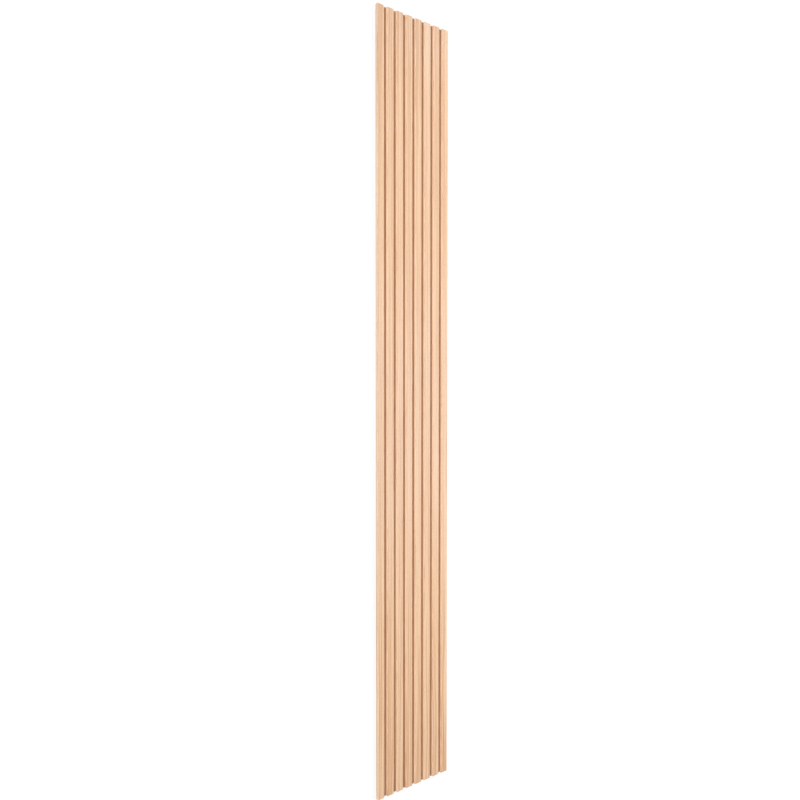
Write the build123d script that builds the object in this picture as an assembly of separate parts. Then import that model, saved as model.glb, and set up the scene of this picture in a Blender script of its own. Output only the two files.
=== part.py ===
# Slatted wall panel: one piece of wood-finish profile stock, drawn lying on its back.
#
# The panel is a single extrusion. Its section is a flat board whose front is
# divided by straight grooves into equal slats. The grooves taper a little towards
# their floors, the slats' front edges are rounded, and the grooves' roots and the
# board's back edges are eased. Both ends are square saw cuts.
#
# Frame, in millimetres: X runs across the slats, Y runs along them, which is up the
# wall once the panel is fixed, and Z points out of the wall. The origin is the
# centre of the flat back.

from build123d import *
import math
import os

# Driving dimensions
panel_length = 2700.0  # stock length, along the slats
panel_width = 300.0
slat_count = 8
groove_width = 12.5  # measured at the front, before the slats' edges are rounded
groove_depth = 7.5
web_thickness = 4.5  # board left between a groove's floor and the back
wall_draft = 2.0  # degrees that each groove wall leans outwards
slat_edge_radius = 1.2  # along the slats' front edges
groove_root_radius = 0.8  # where a groove's walls meet its floor
back_edge_radius = 0.5  # along the two long edges of the back

# Sizes that follow from them
groove_count = slat_count - 1
slat_width = (panel_width - groove_count * groove_width) / slat_count
slat_pitch = slat_width + groove_width
panel_thickness = web_thickness + groove_depth
wall_lean = groove_depth * math.tan(math.radians(wall_draft))
groove_floor_width = groove_width - 2 * wall_lean


def groove_section():
    """The tapered trough that the cutter leaves, with its floor's middle at the sketch's origin."""
    half_floor = groove_floor_width / 2
    half_mouth = groove_width / 2
    with BuildSketch() as trough:
        with BuildLine():
            Polyline(
                (-half_floor, 0),
                (half_floor, 0),
                (half_mouth, groove_depth),
                (-half_mouth, groove_depth),
                close=True,
            )
        make_face()
    return trough.sketch


def panel_section():
    """The panel's section, X across and Y through the thickness, with its back on the X axis."""
    with BuildSketch() as section:
        Rectangle(panel_width, panel_thickness, align=(Align.CENTER, Align.MIN))
        with Locations((0, web_thickness)):
            with GridLocations(slat_pitch, 0, groove_count, 1):
                add(groove_section(), mode=Mode.SUBTRACT)
        back_corners, root_corners, front_corners = section.vertices().group_by(Axis.Y)
        fillet(front_corners, slat_edge_radius)
        fillet(root_corners, groove_root_radius)
        fillet(back_corners, back_edge_radius)
    return section.sketch


def slat_panel():
    """The whole panel: its section drawn out both ways from the middle of its length."""
    with BuildPart() as panel:
        with BuildSketch(Plane.XZ):
            add(panel_section())
        extrude(amount=panel_length / 2, both=True)
    return panel.part


os.makedirs("parts", exist_ok=True)
panel = slat_panel()
panel.label = "slat_panel"
export_step(panel, "parts/slat_panel.step")
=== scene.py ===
import math

import bpy
import numpy as np
from bpy.props import (
    FloatProperty,
    FloatVectorProperty,
    IntProperty,
    PointerProperty,
)
from mathutils import Matrix, Vector


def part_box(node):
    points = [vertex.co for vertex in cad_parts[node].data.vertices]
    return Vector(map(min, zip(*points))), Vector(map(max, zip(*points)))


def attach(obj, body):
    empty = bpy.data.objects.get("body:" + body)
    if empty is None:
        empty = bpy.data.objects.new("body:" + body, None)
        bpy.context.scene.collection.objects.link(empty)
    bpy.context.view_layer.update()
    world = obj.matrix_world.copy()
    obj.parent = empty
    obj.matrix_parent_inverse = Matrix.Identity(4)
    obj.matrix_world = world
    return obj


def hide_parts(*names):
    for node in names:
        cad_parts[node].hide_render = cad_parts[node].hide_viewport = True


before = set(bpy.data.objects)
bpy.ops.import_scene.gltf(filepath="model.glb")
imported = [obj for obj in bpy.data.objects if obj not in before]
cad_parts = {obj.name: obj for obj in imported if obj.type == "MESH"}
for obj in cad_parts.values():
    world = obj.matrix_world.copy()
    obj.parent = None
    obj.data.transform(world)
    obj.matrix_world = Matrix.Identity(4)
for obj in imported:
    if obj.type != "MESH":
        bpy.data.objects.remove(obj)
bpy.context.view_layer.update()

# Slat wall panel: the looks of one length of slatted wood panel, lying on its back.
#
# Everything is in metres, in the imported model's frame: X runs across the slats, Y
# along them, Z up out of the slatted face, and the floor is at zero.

bl_info = {
    "name": "Slat wall panel",
    "version": (1, 0, 0),
    "blender": (4, 5, 0),
    "location": "3D View > Sidebar > Slat panel",
    "description": "Makes a length of slatted wood wall panel and a plain studio round it",
    "category": "Add Mesh",
}

PANEL_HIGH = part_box("slat_panel")[1]

# The most that the panel's own sides and back count as sheltered, where a groove's floor is 1.
# So much of the grooves' painted shade and painted paler tone falls on them too.
SIDE_SHELTER = 0.85
# Mean of the grain's lines, bands and fibres added up, and the tone that stands for it.
MEAN_GRAIN, MEAN_TONE = 0.54, 0.35


class SlatPanelSizes(bpy.types.PropertyGroup):
    """Sizes of the panel's section."""

    slat_count: IntProperty(
        name="Slats",
        description="How many slats stand side by side across the panel",
        default=8,
        min=2,
    )
    groove_width: FloatProperty(
        name="Groove width",
        description="Width of each groove at its mouth, before the slats' edges are rounded",
        default=0.0125,
        unit="LENGTH",
    )
    groove_depth: FloatProperty(
        name="Groove depth",
        description="Depth of each groove below the slats' fronts",
        default=0.0075,
        unit="LENGTH",
    )
    wall_draft: FloatProperty(
        name="Wall draft",
        description="Angle that each groove wall leans outwards",
        default=math.radians(2),
        unit="ROTATION",
    )
    slat_edge_radius: FloatProperty(
        name="Slat edge radius",
        description="Radius along the front edges of the slats",
        default=0.0012,
        unit="LENGTH",
    )
    groove_root_radius: FloatProperty(
        name="Groove root radius",
        description="Radius where a groove's walls meet its floor",
        default=0.0008,
        unit="LENGTH",
    )
    back_edge_radius: FloatProperty(
        name="Back edge radius",
        description="Radius along the two long edges of the back",
        default=0.0005,
        unit="LENGTH",
    )
    sawn_edge_radius: FloatProperty(
        name="Sawn edge radius",
        description="Radius that light sanding leaves round the sawn ends",
        default=0.0003,
        unit="LENGTH",
    )
    # How far the paler band of wear and painted highlight reaches onto the flats.
    wear_and_highlight_reach: FloatProperty(
        name="Wear reach",
        description="How far the paler tone of a rounded edge fades onto the flats beside it",
        default=0.0012,
        unit="LENGTH",
    )


class SlatPanelWood(bpy.types.PropertyGroup):
    """Colours and grain of the wood."""

    pale_colour: FloatVectorProperty(
        name="Pale wood",
        description="Colour of the wood between the grain lines",
        subtype="COLOR",
        default=(0.943, 0.695, 0.508),
        min=0,
        max=1,
    )
    deep_colour: FloatVectorProperty(
        name="Deep wood",
        description="Colour of the grain lines",
        subtype="COLOR",
        default=(0.62, 0.30, 0.135),
        min=0,
        max=1,
    )
    pore_colour: FloatVectorProperty(
        name="Pores",
        description="Colour inside the open pores",
        subtype="COLOR",
        default=(0.43, 0.235, 0.115),
        min=0,
        max=1,
    )
    warm_colour: FloatVectorProperty(
        name="Warm wood",
        description="Colour that the ends, slow patches and ribbons of the wood lean towards",
        subtype="COLOR",
        default=(0.928, 0.620, 0.381),
        min=0,
        max=1,
    )
    # Painted light: a paler, less saturated tone painted on the groove walls and sides to offset
    # the warm bounce light there, not the wood's own colour.
    groove_paling_colour: FloatVectorProperty(
        name="Wood in the grooves",
        description="Colour in the grooves and on the sides, where light has aged the wood less",
        subtype="COLOR",
        default=(0.924, 0.735, 0.568),
        min=0,
        max=1,
    )
    # Painted shade: the groove floors, and partly the sides and back, are darkened towards this
    # colour where the walls shade them.
    floor_shade_colour: FloatVectorProperty(
        name="Groove floors",
        description="Colour of the groove floors, where the finish lies thicker",
        subtype="COLOR",
        default=(0.825, 0.53, 0.31),
        min=0,
        max=1,
    )
    # Partly wear and partly a painted highlight: the rounded slat edges are painted paler for the
    # light they catch as well as for rubbing.
    rubbed_and_highlit_colour: FloatVectorProperty(
        name="Rubbed edges",
        description="Colour where handling has rubbed the slats' rounded edges",
        subtype="COLOR",
        default=(0.975, 0.735, 0.545),
        min=0,
        max=1,
    )
    ring_width: FloatProperty(
        name="Ring width",
        description="Distance from one growth ring to the next",
        default=0.0034,
        unit="LENGTH",
    )
    streak_length: FloatProperty(
        name="Streak length",
        description="Length over which a grain line keeps its tone",
        default=0.45,
        unit="LENGTH",
    )
    pore_length: FloatProperty(
        name="Pore length",
        description="Length of the open pores along the grain",
        default=0.014,
        unit="LENGTH",
    )
    pore_strength: FloatProperty(
        name="Pore strength",
        description="How much of the pores' own colour shows in them",
        default=0.65,
        min=0,
        max=1,
    )
    pith_across: FloatProperty(
        name="Pith across",
        description="How far left of the panel's middle the centre of the growth rings lies",
        default=0.95,
        unit="LENGTH",
    )
    pith_down: FloatProperty(
        name="Pith down",
        description="How far below the panel's back the centre of the growth rings lies",
        default=0.30,
        unit="LENGTH",
    )
    ring_wander: FloatProperty(
        name="Ring wander",
        description="Room from side to side in which slow noise moves the growth rings",
        default=0.02,
        unit="LENGTH",
    )
    figure: FloatProperty(
        name="Figure",
        description="Strength of the grain along the middle of the panel",
        default=0.73,
    )
    low_figure: FloatProperty(
        name="Figure at the low end",
        description="What the low end adds to the strength of the grain",
        default=1.1,
    )
    high_figure: FloatProperty(
        name="Figure at the high end",
        description="What the high end adds to the strength of the grain",
        default=0.25,
    )
    face_contrast: FloatProperty(
        name="Face contrast",
        description="How much the grain deepens the finished faces",
        default=0.9,
    )
    sawn_contrast: FloatProperty(
        name="Sawn contrast",
        description="How much the grain deepens the sawn ends",
        default=1.4,
    )


class SlatPanelStudio(bpy.types.PropertyGroup):
    """The camera, the lamps and the floor."""

    camera_place: FloatVectorProperty(
        name="Camera place",
        description="Where the camera stands",
        subtype="TRANSLATION",
        unit="LENGTH",
        default=(-1.25741, 0.07726, 1.7926),
    )
    camera_target: FloatVectorProperty(
        name="Camera target",
        description="Point that the middle of the picture looks at",
        subtype="TRANSLATION",
        unit="LENGTH",
        default=(-0.05838, 0.02505, 0.012),
    )
    focal_length: FloatProperty(
        name="Focal length",
        description="Focal length in millimetres on a sensor 36 mm wide",
        default=27.9076,
    )
    lamp_distance: FloatProperty(
        name="Lamp distance",
        description="Distance of each lamp from the panel's middle line",
        default=3.4,
        unit="LENGTH",
    )
    lamp_length: FloatProperty(
        name="Lamp length",
        description="Length of each lamp along the panel",
        default=5.4,
        unit="LENGTH",
    )
    lamp_width: FloatProperty(
        name="Lamp width",
        description="Width of each lamp across the panel",
        default=0.7,
        unit="LENGTH",
    )
    lamp_shift: FloatProperty(
        name="Lamp shift",
        description="How far the lamps' middles lie up the panel from its middle",
        default=0.43,
        unit="LENGTH",
    )
    left_angle: FloatProperty(
        name="Left lamp angle",
        description="How far the lamp on the camera's side leans from straight overhead",
        default=math.radians(66),
        unit="ROTATION",
    )
    right_angle: FloatProperty(
        name="Right lamp angle",
        description="How far the opposite lamp leans from straight overhead",
        default=math.radians(50),
        unit="ROTATION",
    )
    left_power: FloatProperty(
        name="Left lamp power",
        description="Power of the lamp on the camera's side, in watts",
        default=109.5,
    )
    right_power: FloatProperty(
        name="Right lamp power",
        description="Power of the opposite lamp, in watts",
        default=135.5,
    )
    room_light: FloatProperty(
        name="Room light",
        description="Strength of the even light from all round",
        default=0.2,
    )
    floor_reach: FloatProperty(
        name="Floor reach",
        description="Distance from the middle of the floor to each of its sides",
        default=8,
        unit="LENGTH",
    )
    floor_drop: FloatProperty(
        name="Floor drop",
        description="Gap that keeps the floor and the panel's back out of one plane",
        default=0.0002,
        unit="LENGTH",
    )
    floor_bounce: FloatProperty(
        name="Floor bounce",
        description="Share of the light that the floor sends back to the panel",
        default=0.45,
        min=0,
        max=1,
    )
    floor_shading: FloatProperty(
        name="Floor shading",
        description="How much of the lamps' light, and so of the shadow, shows on the floor",
        default=0.22,
        min=0,
        max=1,
    )
    near_glow: FloatProperty(
        name="Glow beside the panel",
        description="How white the floor is seen close beside the panel, with 1 for white",
        default=0.84,
        min=0,
        max=1,
    )
    glow_start: FloatProperty(
        name="Glow start",
        description="Distance from the panel at which the floor starts to be seen whiter",
        default=0.02,
        unit="LENGTH",
    )
    glow_end: FloatProperty(
        name="Glow end",
        description="Distance from the panel from which the floor is seen as white",
        default=0.3,
        unit="LENGTH",
    )


class Value:
    """One output of a shader node. Arithmetic on it adds the Math nodes that work it out."""

    def __init__(self, finish, socket):
        self.finish = finish
        self.socket = socket

    def part(self, name):
        """Another output of the same node."""
        return Value(self.finish, self.socket.node.outputs[name])

    def math(self, operation, first, second):
        return self.finish.add("ShaderNodeMath", {"operation": operation}, {0: first, 1: second})

    def __add__(self, other):
        return self.math("ADD", self, other)

    def __radd__(self, other):
        return self.math("ADD", other, self)

    def __sub__(self, other):
        return self.math("SUBTRACT", self, other)

    def __rsub__(self, other):
        return self.math("SUBTRACT", other, self)

    def __mul__(self, other):
        return self.math("MULTIPLY", self, other)

    def __rmul__(self, other):
        return self.math("MULTIPLY", other, self)

    def __truediv__(self, other):
        return self.math("DIVIDE", self, other)

    def __pow__(self, other):
        return self.math("POWER", self, other)

    def larger(self, other):
        return self.math("MAXIMUM", self, other)

    def size(self):
        """It without its sign."""
        return self.math("ABSOLUTE", self, 0)

    def fraction(self):
        """What is left of it above the next whole number down."""
        return self.math("FRACT", self, 0)

    def clear(self):
        """It, held between 0 and 1."""
        return self.math("MAXIMUM", 0, self.math("MINIMUM", 1, self))


class Finish:
    """A node tree being filled in, and the ways to add to it."""

    def __init__(self, tree):
        self.tree = tree
        tree.nodes.clear()

    def add(self, kind, settings=None, inputs=None, output=0):
        """Adds one node: first its settings, then a value or a link on each named socket."""
        node = self.tree.nodes.new(kind)
        for name, setting in (settings or {}).items():
            setattr(node, name, setting)
        for name, value in (inputs or {}).items():
            if isinstance(value, Value):
                self.tree.links.new(value.socket, node.inputs[name])
            else:
                node.inputs[name].default_value = value
        return Value(self, node.outputs[output]) if node.outputs else None

    def mix(self, amount, first, second):
        """The first colour where amount is 0 and the second where it is 1."""
        colours = [c if isinstance(c, Value) else (*c, 1) for c in (first, second)]
        inputs = {0: amount, 6: colours[0], 7: colours[1]}
        return self.add("ShaderNodeMix", {"data_type": "RGBA"}, inputs, 2)

    def ramp(self, value, low, high):
        """0 below low, 1 above high, and an even S between."""
        settings = {"interpolation_type": "SMOOTHSTEP"}
        return self.add(
            "ShaderNodeMapRange", settings, {"Value": value, "From Min": low, "From Max": high}
        )

    def grey(self, level):
        """A plain matt grey."""
        return self.add("ShaderNodeBsdfDiffuse", inputs={"Color": (level, level, level, 1)})

    def noise(self, place, grain, detail=2.0, roughness=0.5):
        """Noise whose blobs measure about grain, which is three lengths in metres."""
        scaled = self.add(
            "ShaderNodeVectorMath",
            {"operation": "MULTIPLY"},
            {0: place, 1: tuple(1 / size for size in grain)},
        )
        settings = {"noise_dimensions": "3D"}
        inputs = {"Vector": scaled, "Scale": 1.0, "Detail": detail, "Roughness": roughness}
        return self.add("ShaderNodeTexNoise", settings, inputs)


def steady(values, decimals=9):
    """The values to so many decimal places, which every run then gives alike.

    A tangent's last digit can come out differently from one run to the next. Adding 0
    turns minus zero into zero.
    """
    return np.round(values, decimals) + 0.0


def rounded_section(corners, radii, steps, reach):
    """A closed outline round the corners, with an arc of the given radius at each corner.

    Along an arc the heading h turns evenly from the heading of the side before it to
    that of the side after it. The outward normal is n = (sin h, -cos h), and the point
    is the arc's centre plus n times the radius where the outline turns left, or minus
    n times the radius where it turns right. A point on each flat, reach away from the
    arc, ends the arc's wear and painted highlight. Returns points, normals and a mask of
    0 to 1 for wear and painted highlight, which is 1 on the arcs of outward corners.
    """
    before = corners - np.roll(corners, 1, axis=0)
    heading = np.arctan2(before[:, 1], before[:, 0])
    turn = (np.roll(heading, -1) - heading + np.pi) % (2 * np.pi) - np.pi
    side = np.sign(turn)[:, None]
    setback = (radii * np.tan(np.abs(turn) / 2))[:, None]
    forward = np.stack([np.cos(heading), np.sin(heading)], axis=1)
    outward = np.stack([np.sin(heading), -np.cos(heading)], axis=1)
    centre = corners - setback * forward - side * radii[:, None] * outward
    taken = setback[:, 0] + reach
    if np.any(np.linalg.norm(before, axis=1) <= taken + np.roll(taken, 1)):
        raise ValueError("The rounded edges and their wear don't fit on the panel's section")

    angles = heading[:, None] + turn[:, None] * np.linspace(0, 1, steps + 1)
    arc_normals = np.stack([np.sin(angles), -np.cos(angles)], axis=2)
    arcs = centre[:, None] + side[:, None] * radii[:, None, None] * arc_normals

    after = np.roll(forward, -1, axis=0)
    first = arcs[:, :1] - reach * forward[:, None]
    last = arcs[:, -1:] + reach * after[:, None]
    points = np.concatenate([first, arcs, last], axis=1).reshape(-1, 2)
    normals = np.concatenate([arc_normals[:, :1], arc_normals, arc_normals[:, -1:]], axis=1)
    wear_and_highlight = np.zeros((len(corners), steps + 3))
    wear_and_highlight[:, 1:-1] = turn[:, None] > 0
    return steady(points), steady(normals.reshape(-1, 2)), wear_and_highlight.reshape(-1)


def panel_corners(sizes):
    """Sharp corners of the panel's section, and the radius at each.

    They go anticlockwise from the left end of the back. The front's corners run from
    right to left: for each groove its right mouth, its floor's right and left ends and
    its left mouth, between the panel's own two edges.
    """
    half_width = PANEL_HIGH[0]
    thickness = PANEL_HIGH[2]
    grooves = sizes.slat_count - 1
    slat_width = (2 * half_width - grooves * sizes.groove_width) / sizes.slat_count
    pitch = slat_width + sizes.groove_width
    middles = (np.arange(grooves)[::-1] - (grooves - 1) / 2) * pitch
    half_mouth = sizes.groove_width / 2
    half_floor = half_mouth - sizes.groove_depth * math.tan(sizes.wall_draft)
    floor = thickness - sizes.groove_depth
    if min(slat_width, half_floor, floor, sizes.groove_depth) <= 0:
        raise ValueError("The grooves don't fit in the panel")
    across = np.array([half_mouth, half_floor, -half_floor, -half_mouth])
    heights = np.array([thickness, floor, floor, thickness])
    groove = np.stack(
        [middles[:, None] + across, np.broadcast_to(heights, (grooves, 4))], axis=2
    )
    corners = np.concatenate(
        [
            [(-half_width, 0), (half_width, 0), (half_width, thickness)],
            groove.reshape(-1, 2),
            [(-half_width, thickness)],
        ]
    )
    mouth, root = sizes.slat_edge_radius, sizes.groove_root_radius
    radii = np.concatenate(
        [
            [sizes.back_edge_radius, sizes.back_edge_radius, mouth],
            np.tile([mouth, root, root, mouth], grooves),
            [mouth],
        ]
    )
    return corners, radii


def shelter(points, corners, sizes):
    """How sheltered each point is, from 0 on the slats' fronts to 1 on the groove floors.

    It is the depth below the fronts divided by the grooves' depth, held to at most 1, and
    to at most SIDE_SHELTER at the corners of the panel's own sides and back. The grooves'
    painted shade and painted paler tone follow it.
    """
    depth = (PANEL_HIGH[2] - points[:, 1]) / sizes.groove_depth
    most = np.ones(len(corners))
    most[[0, 1, 2, -1]] = SIDE_SHELTER
    return np.clip(depth, 0, np.repeat(most, len(points) // len(corners)))


def stations(half_length, radius, spacing=0.05, steps=3):
    """Places along the panel at which its section is set down, from one end to the other.

    Between the ends the places are spaced evenly. At each end an angle t goes from 0 to
    a right angle over a few steps: the section stands at half_length - radius * (1 - sin t)
    and is drawn in by radius * (1 - cos t), and its normals lean to the end by t. Returns
    the places, how far each is drawn in, and the lean, which is negative at the low end.
    """
    t = np.linspace(0, np.pi / 2, steps + 1)
    reach = half_length - radius
    count = int(round(2 * reach / spacing))
    middle = np.linspace(-reach, reach, count + 1)[1:-1]
    high = steady(reach + radius * np.sin(t))
    drawn = steady(radius * (1 - np.cos(t)))
    none = np.zeros(len(middle))
    places = np.concatenate([-high[::-1], middle, high])
    return (
        places,
        np.concatenate([drawn[::-1], none, drawn]),
        np.concatenate([-t[::-1], none, t]),
    )


def panel_mesh(sizes):
    """The panel's whole surface, as its rounded section carried along its length.

    With section point p and normal n at place s along the outline, and a station at y,
    drawn in by d and leaning by t, the surface point is (p - d n) across and y along,
    and its normal is (n cos t) across and sin t along. The two ends are flat faces.
    """
    if sizes.sawn_edge_radius > min(sizes.slat_edge_radius, sizes.back_edge_radius):
        raise ValueError("The sawn edges are rounder than the long edges that meet them")
    corners, radii = panel_corners(sizes)
    points, normals, wear_and_highlight = rounded_section(corners, radii, steps=8, reach=sizes.wear_and_highlight_reach)
    places, drawn, lean = stations(PANEL_HIGH[1], sizes.sawn_edge_radius)
    rings, count = len(places), len(points)

    section = points - drawn[:, None, None] * normals
    vertices = np.empty((rings, count, 3))
    vertices[..., 0] = section[..., 0]
    vertices[..., 1] = places[:, None]
    vertices[..., 2] = section[..., 1]
    facing = np.empty((rings, count, 3))
    facing[..., 0] = normals[:, 0] * np.cos(lean)[:, None]
    facing[..., 1] = np.sin(lean)[:, None]
    facing[..., 2] = normals[:, 1] * np.cos(lean)[:, None]

    index = np.arange(rings * count).reshape(rings, count)
    right = np.roll(index, -1, axis=1)
    quads = np.stack([index[:-1], index[1:], right[1:], right[:-1]], axis=2).reshape(-1, 4)
    low_end = index[0]
    high_end = index[-1][::-1]

    mesh = bpy.data.meshes.new("slat_panel_surface")
    faces = quads.tolist() + [low_end.tolist(), high_end.tolist()]
    mesh.from_pydata(vertices.reshape(-1, 3).tolist(), [], faces)

    corner_normals = np.concatenate(
        [
            steady(facing).reshape(-1, 3)[quads.reshape(-1)],
            np.tile([0.0, -1.0, 0.0], (count, 1)),
            np.tile([0.0, 1.0, 0.0], (count, 1)),
        ]
    )
    mesh.polygons.foreach_set("use_smooth", np.ones(len(faces), dtype=bool))
    surface = np.zeros(len(faces), dtype=np.int32)
    surface[-2:] = 1
    mesh.polygons.foreach_set("material_index", surface)

    layer = mesh.uv_layers.new(name="OFBake")
    layer.uv.foreach_set("vector", unrolled(points, normals, places).reshape(-1))
    for name, values in (("wear_and_highlight", wear_and_highlight), ("shelter", shelter(points, corners, sizes))):
        attribute = mesh.attributes.new(name, "FLOAT", "POINT")
        attribute.data.foreach_set("value", np.tile(values, rings))
    mesh.update()
    mesh.normals_split_custom_set(corner_normals.tolist())
    return mesh


def unrolled(points, normals, places, margin=0.004, band=0.03, back_share=0.35):
    """Texture places for each face corner: the surface unrolled flat, with the ends below it.

    Across the map goes the distance round the outline, with the back narrowed to its share
    because it is plain, and up the map goes the distance along the panel. The two ends lie
    side by side in a band along the map's lower edge, with a margin round each patch.
    """
    step = np.linalg.norm(np.roll(points, -1, axis=0) - points, axis=1)
    under = (normals[:, 1] + np.roll(normals[:, 1], -1)) / 2 < -0.99
    round_outline = np.concatenate([[0], np.cumsum(step * np.where(under, back_share, 1.0))])
    u = margin + (1 - 2 * margin) * round_outline / round_outline[-1]
    along = (places - places[0]) / (places[-1] - places[0])
    v = band + (1 - margin - band) * along
    low_u, high_u = np.meshgrid(u[:-1], v[:-1]), np.meshgrid(u[1:], v[1:])
    sides = np.stack(
        [
            np.stack(low_u, axis=2),
            np.stack([low_u[0], high_u[1]], axis=2),
            np.stack(high_u, axis=2),
            np.stack([high_u[0], low_u[1]], axis=2),
        ],
        axis=2,
    )
    width, thickness = 2 * PANEL_HIGH[0], PANEL_HIGH[2]
    flat = np.stack(
        [
            (points[:, 0] / width + 0.5) * (0.5 - 2 * margin) + margin,
            points[:, 1] / thickness * (band - 2 * margin) + margin,
        ],
        axis=1,
    )
    return np.concatenate([sides.reshape(-1, 2), flat, flat[::-1] + (0.5, 0)])


def wood(finish, look, contrast, painted_paling=0, painted_shade=0):
    """Straight-grained wood. Returns its colour, its height, its tone and its pores.

    The growth rings lie round a pith far to one side, so they run straight along the
    panel on the front and stand nearly upright on the sawn ends. With d the distance
    from the pith, moved a little by slow noise of the place, a ring's place is the
    fractional part of d / ring_width plus slow noise, which makes the rings uneven. Each
    ring starts with a dark line that fades. The lines' strength, the bands of tone, the
    fibres and the ribbons of warmth are noise of d drawn out along the grain.

    The tone is the lines, bands and fibres added up, less their mean, times the figure,
    which grows towards the two ends. The ground under it is warmer towards the ends, but
    less so close by the high one. The colour leans by the second last argument to a
    paler, less saturated tone painted on the groove walls against the warm bounce light
    there, and by the last to the painted shade of the groove floors.
    """
    place = finish.add("ShaderNodeTexCoord", output="Object")
    spot = finish.add("ShaderNodeSeparateXYZ", inputs={0: place})
    across, along, up = spot.part("X"), spot.part("Y"), spot.part("Z")

    wander = finish.noise(place, (0.30, 0.45, 0.30), 2.0) - 0.5
    from_pith_x = across + look.pith_across + wander * look.ring_wander
    from_pith_z = up + look.pith_down
    distance = (from_pith_x * from_pith_x + from_pith_z * from_pith_z) ** 0.5
    cut = finish.add("ShaderNodeCombineXYZ", inputs={0: distance, 1: along, 2: up})

    uneven = finish.noise(cut, (0.011, 2.4, 0.05), 2.0) - 0.5
    ring = (distance / look.ring_width + uneven * 5).fraction()
    line = finish.ramp(ring, 0, 0.07) * (1 - finish.ramp(ring, 0.07, 0.75))
    strength = finish.noise(cut, (0.005, look.streak_length, 0.05), 2.0)
    bands = finish.noise(cut, (0.0045, look.streak_length * 2, 0.06), 3.0, 0.6)
    fibres = finish.noise(cut, (0.0006, 0.045, 0.0006), 3.0, 0.6)
    lines = line * finish.ramp(strength, 0.30, 0.72)
    grain = lines * 0.5 + finish.ramp(bands, 0.32, 0.68) * 0.6 + fibres * 0.3
    low_end = finish.ramp(along * -1, 0.45, 0.95)
    high_end = finish.ramp(along, 0.5, 1.2)
    figure = look.figure + low_end * look.low_figure + high_end * look.high_figure
    tone = MEAN_TONE + (grain - MEAN_GRAIN) * figure

    patches = finish.ramp(finish.noise(place, (0.07, 0.7, 0.08), 1.0), 0.3, 0.7)
    ribbons = finish.ramp(finish.noise(cut, (0.012, 0.7, 0.05), 2.0), 0.3, 0.7)
    # Warmer towards both ends and less warm close by the high end: gradients given along the
    # length.
    less_warm_high_end = finish.ramp(along, 1.1, 1.3)
    ends = finish.ramp(along.size(), 0.1, 0.7) * 0.48 + low_end * 0.16
    warmth = patches * 0.16 + ribbons * 0.24 + ends - less_warm_high_end * 0.36
    ground = finish.mix(warmth, look.pale_colour, look.warm_colour)
    # Painted paling: the groove walls and sides lean to a paler, less saturated tone against the
    # warm bounce light, with weaker grain.
    ground = finish.mix(painted_paling, ground, look.groove_paling_colour)
    amount = (tone * contrast).clear() * (1 - 0.5 * painted_paling)
    colour = finish.mix(amount, ground, look.deep_colour)
    # Painted shade: the groove floors lean to a darker colour where the walls shade them.
    colour = finish.mix(painted_shade, colour, look.floor_shade_colour)

    crowd = finish.noise(cut, (0.004, 0.3, 0.05), 1.0) - 0.5
    specks = finish.noise(cut, (0.00028, look.pore_length, 0.00028), 1.0)
    pores = finish.ramp(specks + line * 0.10 + crowd * 0.16, 0.68, 0.76)
    colour = finish.mix(pores * look.pore_strength, colour, look.pore_colour)
    height = 0.7 - pores * 0.7 - line * 0.15 + fibres * 0.3
    return colour, height, tone, pores


def wood_surface(finish, colour, roughness, height, relief):
    """Ends the tree with a wood shader whose bump stands relief metres high."""
    bump = finish.add(
        "ShaderNodeBump", inputs={"Strength": 0.6, "Distance": relief, "Height": height}
    )
    surface = finish.add(
        "ShaderNodeBsdfPrincipled",
        inputs={"Base Color": colour, "Roughness": roughness, "Normal": bump, "IOR": 1.45},
    )
    finish.add("ShaderNodeOutputMaterial", inputs={"Surface": surface})


def face_finish(look):
    """The finished wood of the front, the sides and the back.

    The groove walls are painted paler and less saturated from just below their tops,
    against the warm bounce light there, and the floors are painted darker as shade; the
    sides and back take part of both. The rounded edges are rubbed paler and smoother in
    patches, which is wear and partly a painted highlight along them.
    """
    material = bpy.data.materials.new("finished_wood")
    material.use_nodes = True
    finish = Finish(material.node_tree)
    sheltered = finish.add("ShaderNodeAttribute", {"attribute_name": "shelter"}, output="Fac")
    # Painted shade and paling, led by depth below the fronts: floors darker, walls and sides
    # paler and less saturated.
    deepest = finish.ramp(sheltered, 0.75, 0.97)
    painted_paling = finish.ramp(sheltered, 0.1, 0.4) - deepest * 0.6
    painted_shade = deepest * 0.7
    colour, height, tone, pores = wood(finish, look, look.face_contrast, painted_paling, painted_shade)

    worn_and_highlit = finish.add("ShaderNodeAttribute", {"attribute_name": "wear_and_highlight"}, output="Fac")
    place = finish.add("ShaderNodeTexCoord", output="Object")
    rubbed_and_highlit = worn_and_highlit * finish.ramp(finish.noise(place, (0.01, 0.06, 0.01), 3.0), 0.35, 0.65)
    # Wear and painted highlight: the rounded edges are painted paler where rubbed, and also to
    # stand for the light they catch.
    colour = finish.mix(rubbed_and_highlit * 0.75, colour, look.rubbed_and_highlit_colour)
    roughness = 0.46 + tone * 0.12 + pores * 0.2 - rubbed_and_highlit * 0.06
    wood_surface(finish, colour, roughness, height, relief=0.00025)
    return material


def sawn_finish(look):
    """The same wood across the grain, darker and rougher, with the saw's fine lines."""
    material = bpy.data.materials.new("sawn_wood")
    material.use_nodes = True
    finish = Finish(material.node_tree)
    colour, height, tone, pores = wood(finish, look, look.sawn_contrast)
    place = finish.add("ShaderNodeTexCoord", output="Object")
    marks = finish.noise(place, (0.0007, 0.05, 0.02), 2.0)
    colour = finish.mix(0.35 + marks * 0.3, colour, look.deep_colour)
    roughness = 0.66 + tone * 0.12 + pores * 0.2
    wood_surface(finish, colour, roughness, height + marks * 0.5, relief=0.0003)
    return material


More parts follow.
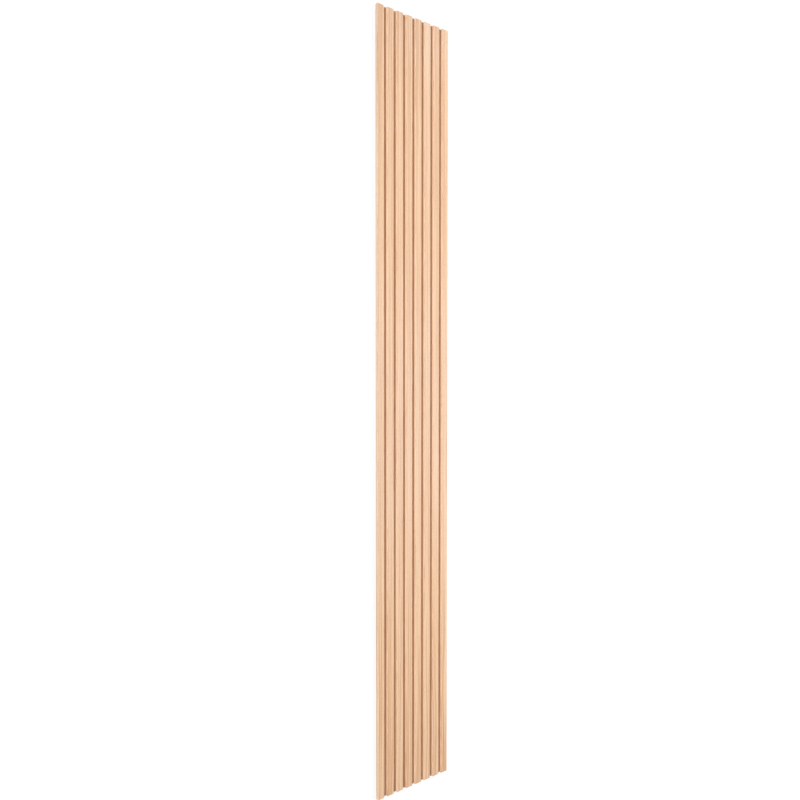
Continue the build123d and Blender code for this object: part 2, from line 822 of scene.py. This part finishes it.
def seen_rays(finish):
    """1 for what the camera sees straight, in a reflection or through glass, and 0 for light."""
    path = finish.add("ShaderNodeLightPath", output="Is Camera Ray")
    return path.larger(path.part("Is Glossy Ray")).larger(path.part("Is Transmission Ray"))


def floor_finish(studio):
    """A pale floor that shows white, apart from the object's shadow close round it.

    What the camera sees is a glow plus a part of what the lamps give. The glow grows
    to full white with the distance outside the panel's outline, which is the length of
    (max(|x| - half width, 0), max(|y| - half length, 0)).
    """
    material = bpy.data.materials.new("studio_floor")
    material.use_nodes = True
    finish = Finish(material.node_tree)
    place = finish.add("ShaderNodeTexCoord", output="Object")
    spot = finish.add("ShaderNodeSeparateXYZ", inputs={0: place})
    beside = (spot.part("X").size() - PANEL_HIGH[0]).larger(0)
    beyond = (spot.part("Y").size() - PANEL_HIGH[1]).larger(0)
    distance = (beside * beside + beyond * beyond) ** 0.5
    whiter = finish.ramp(distance, studio.glow_start, studio.glow_end)
    glow = finish.mix(whiter, (studio.near_glow,) * 3, (1, 1, 1))
    plain = finish.grey(studio.floor_bounce)
    faint = finish.grey(studio.floor_shading)
    glowing = finish.add("ShaderNodeEmission", inputs={"Color": glow, "Strength": 1})
    shown = finish.add("ShaderNodeAddShader", inputs={0: faint, 1: glowing})
    surface = finish.add("ShaderNodeMixShader", inputs={0: seen_rays(finish), 1: plain, 2: shown})
    finish.add("ShaderNodeOutputMaterial", inputs={"Surface": surface})
    return material


def studio_world(room_light):
    """White where it is seen, and a weak even light otherwise."""
    world = bpy.data.worlds.new("studio_world")
    world.use_nodes = True
    finish = Finish(world.node_tree)
    light, white = (
        finish.add("ShaderNodeBackground", inputs={"Color": (1, 1, 1, 1), "Strength": strength})
        for strength in (room_light, 1)
    )
    surface = finish.add("ShaderNodeMixShader", inputs={0: seen_rays(finish), 1: light, 2: white})
    finish.add("ShaderNodeOutputWorld", inputs={"Surface": surface})
    return world


def facing_matrix(right, up, back, place):
    """The matrix of a lamp or camera from its own three axes and its place."""
    turn = Matrix((right, up, back)).transposed().to_4x4()
    return Matrix.Translation(place) @ turn


def strip_lamp(name, angle, power, studio):
    """A long rectangular lamp beside the panel, turned to face its middle line.

    Its middle is at (distance sin a, shift, distance cos a), with a from overhead.
    """
    data = bpy.data.lights.new(name, "AREA")
    data.shape = "RECTANGLE"
    data.size = studio.lamp_width
    data.size_y = studio.lamp_length
    data.energy = power
    lamp = bpy.data.objects.new(name, data)
    back = Vector((math.sin(angle), 0, math.cos(angle)))
    along = Vector((0, 1, 0))
    place = back * studio.lamp_distance + along * studio.lamp_shift
    lamp.matrix_world = facing_matrix(along.cross(back), along, back, place)
    lamp.visible_camera = False
    bpy.context.collection.objects.link(lamp)


def studio_floor(studio):
    """A square floor just below the panel's back."""
    reach, level = studio.floor_reach, -studio.floor_drop
    square = [(-reach, -reach), (reach, -reach), (reach, reach), (-reach, reach)]
    mesh = bpy.data.meshes.new("studio_floor_surface")
    mesh.from_pydata([(x, y, level) for x, y in square], [], [(0, 1, 2, 3)])
    mesh.materials.append(floor_finish(studio))
    floor = bpy.data.objects.new("studio_floor", mesh)
    bpy.context.collection.objects.link(floor)


def photo_camera(studio):
    """The camera, looking from its place to its target, with the panel's length upwards."""
    place = Vector(studio.camera_place)
    back = (place - Vector(studio.camera_target)).normalized()
    right = Vector((0, 1, 0)).cross(back).normalized()
    data = bpy.data.cameras.new("photo_camera")
    data.sensor_width = 36
    data.lens = studio.focal_length
    camera = bpy.data.objects.new("photo_camera", data)
    camera.matrix_world = facing_matrix(right, back.cross(right), back, place)
    bpy.context.collection.objects.link(camera)
    bpy.context.scene.camera = camera


class SLATPANEL_OT_panel(bpy.types.Operator):
    """Make the slatted panel in finished wood"""

    bl_idname = "slatpanel.panel"
    bl_label = "Make the panel"

    def execute(self, context):
        scene = context.scene
        mesh = panel_mesh(scene.slat_panel_sizes)
        mesh.materials.append(face_finish(scene.slat_panel_wood))
        mesh.materials.append(sawn_finish(scene.slat_panel_wood))
        panel = bpy.data.objects.new("slatted_panel", mesh)
        context.collection.objects.link(panel)
        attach(panel, "root")
        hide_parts("slat_panel")
        return {"FINISHED"}


class SLATPANEL_OT_stage(bpy.types.Operator):
    """Make the floor, the lamps, the white surroundings and the camera"""

    bl_idname = "slatpanel.stage"
    bl_label = "Make the stage"

    def execute(self, context):
        studio = context.scene.slat_panel_studio
        studio_floor(studio)
        strip_lamp("left_lamp", -studio.left_angle, studio.left_power, studio)
        strip_lamp("right_lamp", studio.right_angle, studio.right_power, studio)
        context.scene.world = studio_world(studio.room_light)
        photo_camera(studio)
        context.scene.view_settings.view_transform = "Standard"
        return {"FINISHED"}


class SLATPANEL_PT_sidebar(bpy.types.Panel):
    """The panel's makers in the 3D view's sidebar"""

    bl_idname = "SLATPANEL_PT_sidebar"
    bl_label = "Slat wall panel"
    bl_space_type = "VIEW_3D"
    bl_region_type = "UI"
    bl_category = "Slat panel"

    def draw(self, context):
        for operator in (SLATPANEL_OT_panel, SLATPANEL_OT_stage):
            self.layout.operator(operator.bl_idname)


CLASSES = (
    SlatPanelSizes,
    SlatPanelWood,
    SlatPanelStudio,
    SLATPANEL_OT_panel,
    SLATPANEL_OT_stage,
    SLATPANEL_PT_sidebar,
)


def register():
    for each in CLASSES:
        bpy.utils.register_class(each)
    bpy.types.Scene.slat_panel_sizes = PointerProperty(type=SlatPanelSizes)
    bpy.types.Scene.slat_panel_wood = PointerProperty(type=SlatPanelWood)
    bpy.types.Scene.slat_panel_studio = PointerProperty(type=SlatPanelStudio)


def unregister():
    del bpy.types.Scene.slat_panel_studio
    del bpy.types.Scene.slat_panel_wood
    del bpy.types.Scene.slat_panel_sizes
    for each in reversed(CLASSES):
        bpy.utils.unregister_class(each)


def main():
    """Makes everything in order."""
    register()
    bpy.ops.slatpanel.panel()
    bpy.ops.slatpanel.stage()


if __name__ == "__main__":
    main()
